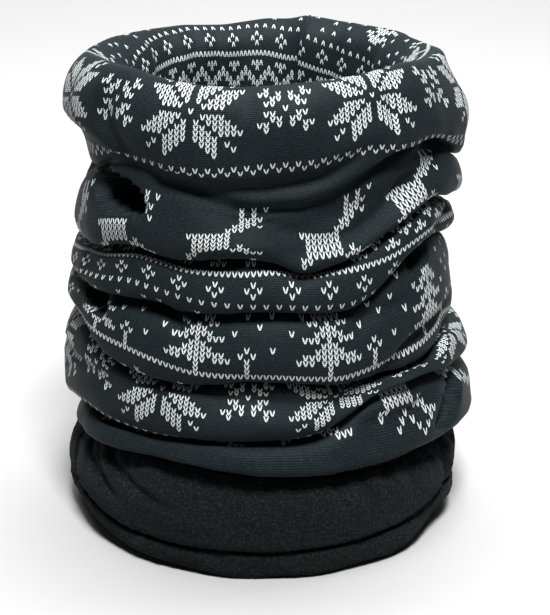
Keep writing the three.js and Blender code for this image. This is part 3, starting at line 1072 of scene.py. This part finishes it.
def build_joining_seam():
    """Overlocked seam between print and fleece."""
    height = seam_height(stitch_angles(COLUMNS))
    sway = (0.16, 0.22)
    return overlock("joining_seam_stitches", COLUMNS, SEAM_RADIUS - 1.0, height, sway, 0.62)


def build_top_hem():
    """Overlocked free edge of the turned-in top."""
    height = (HEM_LOW.z + HEM_HIGH.z) / 2 / MM + 0.6
    return overlock("top_hem_stitches", HEM_STITCHES, OPENING_RADIUS - 0.7, height, (0.14, 0.3), 0.6)


def on_surface(piece, start, ends, lift):
    """Points where lines from a start point through each end first meet a piece, moved a
    little back towards the start."""
    tree = BVHTree.FromPolygons(
        [v.co for v in piece.data.vertices], [p.vertices[:] for p in piece.data.polygons]
    )
    points = []
    for begin, end in zip(start, ends):
        way = (Vector(end) - Vector(begin)).normalized()
        hit = tree.ray_cast(Vector(begin), way)[0]
        if hit is None:
            raise RuntimeError(f"no surface of {piece.name} lies under its seam")
        points.append(hit - way * lift)
    return np.array(points)


def seam_zigzag(name, piece, angle, heights, outside):
    """Zigzag overlock down a fleece piece, laid on its outer or inner face."""
    count, points_per_wave = 16 * len(heights), 9
    z = np.interp(np.linspace(0, len(heights) - 1, count), np.arange(len(heights)), heights)
    sway = 0.9 * np.sin(np.arange(count) * 2 * math.pi / points_per_wave)
    a = angle + np.degrees(sway / FLEECE_RADIUS)
    near, far = (FLEECE_RADIUS + 12, 20.0) if outside else (20.0, FLEECE_RADIUS + 12)
    start, end = turned(a, np.full(count, near), z), turned(a, np.full(count, far), z)
    centre = on_surface(piece, start, end, 0.35 * MM)
    kernel = np.array((0.25, 0.5, 0.25))
    for k in range(3):
        centre[1:-1, k] = np.convolve(centre[:, k], kernel, "valid")
    return bead(name, centre, 0.55 * MM, BEAD_SIDES, "twisted_thread", False)


def node_angle(node):
    """Angle round the tube of a CAD node's middle, in degrees from the front."""
    low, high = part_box(node)
    middle = (low + high) / 2
    return math.degrees(math.atan2(middle.x, -middle.y))


def build_outer_side_seam():
    """Closes the outer fleece into a tube, down its outer face."""
    low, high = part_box("fleece_outer_side_seam")
    heights = np.linspace(high.z / MM, low.z / MM + 1.0, 6)
    fleece = bpy.data.objects["fleece_outer_band"]
    angle = node_angle("fleece_outer_side_seam")
    return seam_zigzag("fleece_outer_closing_stitches", fleece, angle, heights, True)


def build_lining_side_seam():
    """Closes the fleece lining into a tube, down its inner face."""
    low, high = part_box("fleece_lining_side_seam")
    heights = np.linspace(high.z / MM - 1.0, low.z / MM + 1.0, 6)
    lining = bpy.data.objects["fleece_lining_ring"]
    angle = node_angle("fleece_lining_side_seam")
    return seam_zigzag("fleece_lining_closing_stitches", lining, angle, heights, False)


def build_care_label():
    """Tape folded to a square, hanging from its stitched top edge with a slight curl."""
    steps = 48
    u = np.linspace(-1, 1, steps)[:, None] + np.zeros(steps)[None, :]
    v = np.zeros(steps)[:, None] + np.linspace(0, 1, steps)[None, :]
    half = (LABEL_HIGH.x - LABEL_LOW.x) / 2
    middle = (LABEL_LOW.y + LABEL_HIGH.y) / 2
    x = u * half * (1 - 0.012 * v)
    curl = 1.1 * v**2 - 0.7 * u**2 * v + 0.25 * np.sin(3.1 * u + 1.3) * v
    y = middle - curl * MM - 0.2 * MM
    z = LABEL_HIGH.z - v * (LABEL_HIGH.z - LABEL_LOW.z) + 0.25 * np.sin(2.2 * u) * v * MM
    points = np.stack([x, y, z], axis=-1)
    i, j = np.arange(steps - 1)[:, None], np.arange(steps - 1)[None, :]
    near, far = i * steps + j, (i + 1) * steps + j
    piece = new_object("care_label_tape", points, quads(near, near + 1, far + 1, far), "satin_tape")
    solidify(piece, 0.5 * MM, 0)
    apply_modifiers(piece)
    return piece


def build_label_stitches():
    """Row of zigzag stitches across the top of the label."""
    low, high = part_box("care_label_stitches")
    zigzags, count, inset = 10, 128, 0.6 * MM
    t = np.linspace(0, 1, count)
    x = low.x + inset + t * (high.x - low.x - 2 * inset)
    z = (low.z + high.z) / 2 + 0.7 * MM * np.sin(t * 2 * math.pi * zigzags)
    y = np.full(count, LABEL_LOW.y - 0.25 * MM)
    centre = np.stack([x, y, z], axis=-1)
    return bead("care_label_zigzag", centre, 0.3 * MM, BEAD_SIDES, "twisted_thread", False)


# ---- settings --------------------------------------------------------------------------

class GaiterSettings(bpy.types.PropertyGroup):
    """Sizes and colours of the neck gaiter."""

    jersey_thickness: FloatProperty(
        name="Jersey thickness", description="Thickness of the printed jersey",
        default=0.0006, unit="LENGTH",
    )
    fleece_thickness: FloatProperty(
        name="Fleece thickness", description="Thickness of one layer of pile fleece",
        default=0.0030, unit="LENGTH",
    )
    crease_strength: FloatProperty(
        name="Crease strength", description="Depth of the creases that radiate from the seam",
        default=1.0, min=0.0, max=2.0,
    )
    jersey_colour: FloatVectorProperty(
        name="Jersey colour", description="Ground of the printed jersey",
        default=(0.0060, 0.0092, 0.0108), subtype="COLOR",
    )
    # rib colour: painted highlight along the ribs of the printed face, and the lighter streaks of the
    # reverse
    rib_colour: FloatVectorProperty(
        name="Rib colour", description="Fine ribs across the jersey where light catches them",
        default=(0.022, 0.033, 0.037), subtype="COLOR",
    )
    print_colour: FloatVectorProperty(
        name="Print colour", description="Printed stitches", default=(0.52, 0.56, 0.55),
        subtype="COLOR",
    )
    # print shade: painted shade of the printed stitches along the ribs
    print_shade: FloatVectorProperty(
        name="Print shade", description="Printed stitches between the ribs",
        default=(0.34, 0.38, 0.375), subtype="COLOR",
    )
    # fleece colour and shade: painted highlight on the tips of the pile, painted shade in its depth;
    # the shade also fills the grooves of the thread
    fleece_colour: FloatVectorProperty(
        name="Fleece colour", description="Tips of the pile", default=(0.0165, 0.0235, 0.0255),
        subtype="COLOR",
    )
    fleece_shade: FloatVectorProperty(
        name="Fleece shade", description="Depth of the pile", default=(0.0035, 0.0050, 0.0055),
        subtype="COLOR",
    )
    thread_colour: FloatVectorProperty(
        name="Thread colour", description="Overlock thread", default=(0.020, 0.026, 0.028),
        subtype="COLOR",
    )
    label_colour: FloatVectorProperty(
        name="Label colour", description="Care label tape", default=(0.75, 0.75, 0.72),
        subtype="COLOR",
    )
    camera_distance: FloatProperty(
        name="Camera distance", description="From the middle of the gaiter to the camera",
        default=0.70, unit="LENGTH",
    )
    camera_elevation: FloatProperty(
        name="Camera elevation", description="Angle above the horizon", default=20.0,
    )


def settings_of(context):
    """The scene's gaiter settings."""
    return context.scene.neck_gaiter


# ---- operators -------------------------------------------------------------------------

class MakeMaterials(bpy.types.Operator):
    """Makes the jersey, fleece, thread and label materials"""

    bl_idname = "gaiter.make_materials"
    bl_label = "Make materials"

    def execute(self, context):
        settings = settings_of(context)
        lint = lint_group()
        make_printed_jersey(settings, lint)
        make_jersey_back(settings, lint)
        make_fleece(settings, lint)
        make_thread(settings, lint)
        make_label_tape(settings, lint)
        return {"FINISHED"}


class MakePrintedTube(bpy.types.Operator):
    """Builds the printed jersey tube with its rolls, rim and turned-in top"""

    bl_idname = "gaiter.make_printed_tube"
    bl_label = "Make printed tube"

    def execute(self, context):
        tube = build_printed_tube(settings_of(context))
        hem = build_top_hem()
        for piece, node, finish in (
            (tube, "printed_tube", "printed_jersey"),
            (hem, "top_hem_thread", "thread"),
        ):
            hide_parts(node)
            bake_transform(piece)
        return {"FINISHED"}


class MakeFleece(bpy.types.Operator):
    """Builds the outer fleece and its lining"""

    bl_idname = "gaiter.make_fleece"
    bl_label = "Make fleece"

    def execute(self, context):
        settings = settings_of(context)
        outer, lining = build_fleece_outer(settings), build_fleece_lining()
        for piece, node in ((outer, "fleece_outer"), (lining, "fleece_lining")):
            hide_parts(node)
            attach(piece, FLEECE_BODY)
        return {"FINISHED"}


class MakeSeams(bpy.types.Operator):
    """Builds the joining seam and the two closing seams of the fleece"""

    bl_idname = "gaiter.make_seams"
    bl_label = "Make seams"

    def execute(self, context):
        for build, node in (
            (build_joining_seam, "joining_seam"),
            (build_outer_side_seam, "fleece_outer_side_seam"),
            (build_lining_side_seam, "fleece_lining_side_seam"),
        ):
            piece = build()
            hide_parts(node)
            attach(piece, FLEECE_BODY)
        return {"FINISHED"}


class MakeCareLabel(bpy.types.Operator):
    """Builds the plain care label and its stitches"""

    bl_idname = "gaiter.make_care_label"
    bl_label = "Make care label"

    def execute(self, context):
        for build, node, finish in (
            (build_care_label, "care_label", "label_tape"),
            (build_label_stitches, "care_label_stitches", "thread"),
        ):
            piece = build()
            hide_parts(node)
            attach(piece, LABEL_BODY)
        return {"FINISHED"}


class MakeStage(bpy.types.Operator):
    """Adds the pale sweep, the lights and the camera"""

    bl_idname = "gaiter.make_stage"
    bl_label = "Make stage"

    def execute(self, context):
        build_stage(context.scene, settings_of(context))
        return {"FINISHED"}


def area_light(name, place, target, size, energy):
    """Square white light that looks at a target."""
    data = bpy.data.lights.new(name, "AREA")
    data.shape, data.size, data.energy = "SQUARE", size, energy
    lamp = bpy.data.objects.new(name, data)
    lamp.location = place
    lamp.rotation_euler = (Vector(target) - Vector(place)).to_track_quat("-Z", "Y").to_euler()
    bpy.context.scene.collection.objects.link(lamp)


def build_stage(scene, settings):
    """Pale floor that curves up behind, soft lights from above and in front, camera."""
    steps, flat_share, bend_share = 40, 0.45, 0.35
    t = np.linspace(0, 1, steps)
    bend = np.clip((t - flat_share) / bend_share, 0, 1) * math.pi / 2
    y = np.where(t < flat_share, -2.0 + t / flat_share * 3.0, 1.0 + np.sin(bend))
    z = np.where(t < flat_share, 0.0, 1.0 - np.cos(bend))
    y, z = np.append(y, 2.0), np.append(z, 4.0)
    left = np.stack([np.full_like(y, -3.0), y, z], axis=-1)
    right = left * (-1, 1, 1)
    points = np.stack([left, right], axis=0)
    count = len(y)
    j = np.arange(count - 1)
    n = new_material("pale_floor")
    inputs = {"Base Color": (0.37, 0.37, 0.37, 1.0), "Roughness": 0.9, "Specular IOR Level": 0.0}
    shader = n.add("ShaderNodeBsdfPrincipled", inputs)
    n.add("ShaderNodeOutputMaterial", {"Surface": shader.outputs["BSDF"]})
    faces = quads(j, count + j, count + j + 1, j + 1)
    floor = new_object("floor_sweep", points, faces, "pale_floor")

    world = bpy.data.worlds.new("soft_room")
    world.use_nodes = True
    background = world.node_tree.nodes["Background"]
    background.inputs["Color"].default_value = (1.0, 1.0, 1.0, 1.0)
    background.inputs["Strength"].default_value = 0.03
    scene.world = world
    middle = (0, 0, 0.09)
    area_light("key_light", (0.12, -0.72, 1.45), middle, 0.35, 48)
    area_light("top_light", (0.15, 0.15, 1.5), middle, 0.5, 12)
    area_light("backdrop_light", (0, 0.35, 1.6), (0, 2.0, 0.6), 1.2, 60)

    data = bpy.data.cameras.new("camera")
    data.lens, data.sensor_width = 101.7, 36.0
    data.shift_x, data.shift_y = 0.0195, -0.054
    camera = bpy.data.objects.new("camera", data)
    up = math.radians(settings.camera_elevation)
    far = settings.camera_distance
    aim = Vector((0, 0, 0.095))
    camera.location = aim + far * Vector((0, -math.cos(up), math.sin(up)))
    way = aim - camera.location
    camera.rotation_euler = way.to_track_quat("-Z", "Y").to_euler()
    scene.collection.objects.link(camera)
    bpy.context.scene.camera = camera
    scene.view_settings.view_transform = "Standard"


class GaiterPanel(bpy.types.Panel):
    """Lists the build steps and settings"""

    bl_label = "Neck Gaiter"
    bl_idname = "VIEW3D_PT_neck_gaiter"
    bl_space_type = "VIEW_3D"
    bl_region_type = "UI"
    bl_category = "Neck Gaiter"

    def draw(self, context):
        for step in STEPS:
            self.layout.operator(step.bl_idname)
        for name in GaiterSettings.__annotations__:
            self.layout.prop(settings_of(context), name)


STEPS = (MakeMaterials, MakeFleece, MakePrintedTube, MakeSeams, MakeCareLabel, MakeStage)
CLASSES = (GaiterSettings, *STEPS, GaiterPanel)


def register():
    for item in CLASSES:
        bpy.utils.register_class(item)
    bpy.types.Scene.neck_gaiter = PointerProperty(type=GaiterSettings)


def unregister():
    del bpy.types.Scene.neck_gaiter
    for item in reversed(CLASSES):
        bpy.utils.unregister_class(item)


def main():
    register()
    bpy.ops.gaiter.make_materials()
    bpy.ops.gaiter.make_fleece()
    bpy.ops.gaiter.make_printed_tube()
    bpy.ops.gaiter.make_seams()
    bpy.ops.gaiter.make_care_label()
    bpy.ops.gaiter.make_stage()


if __name__ == "__main__":
    main()
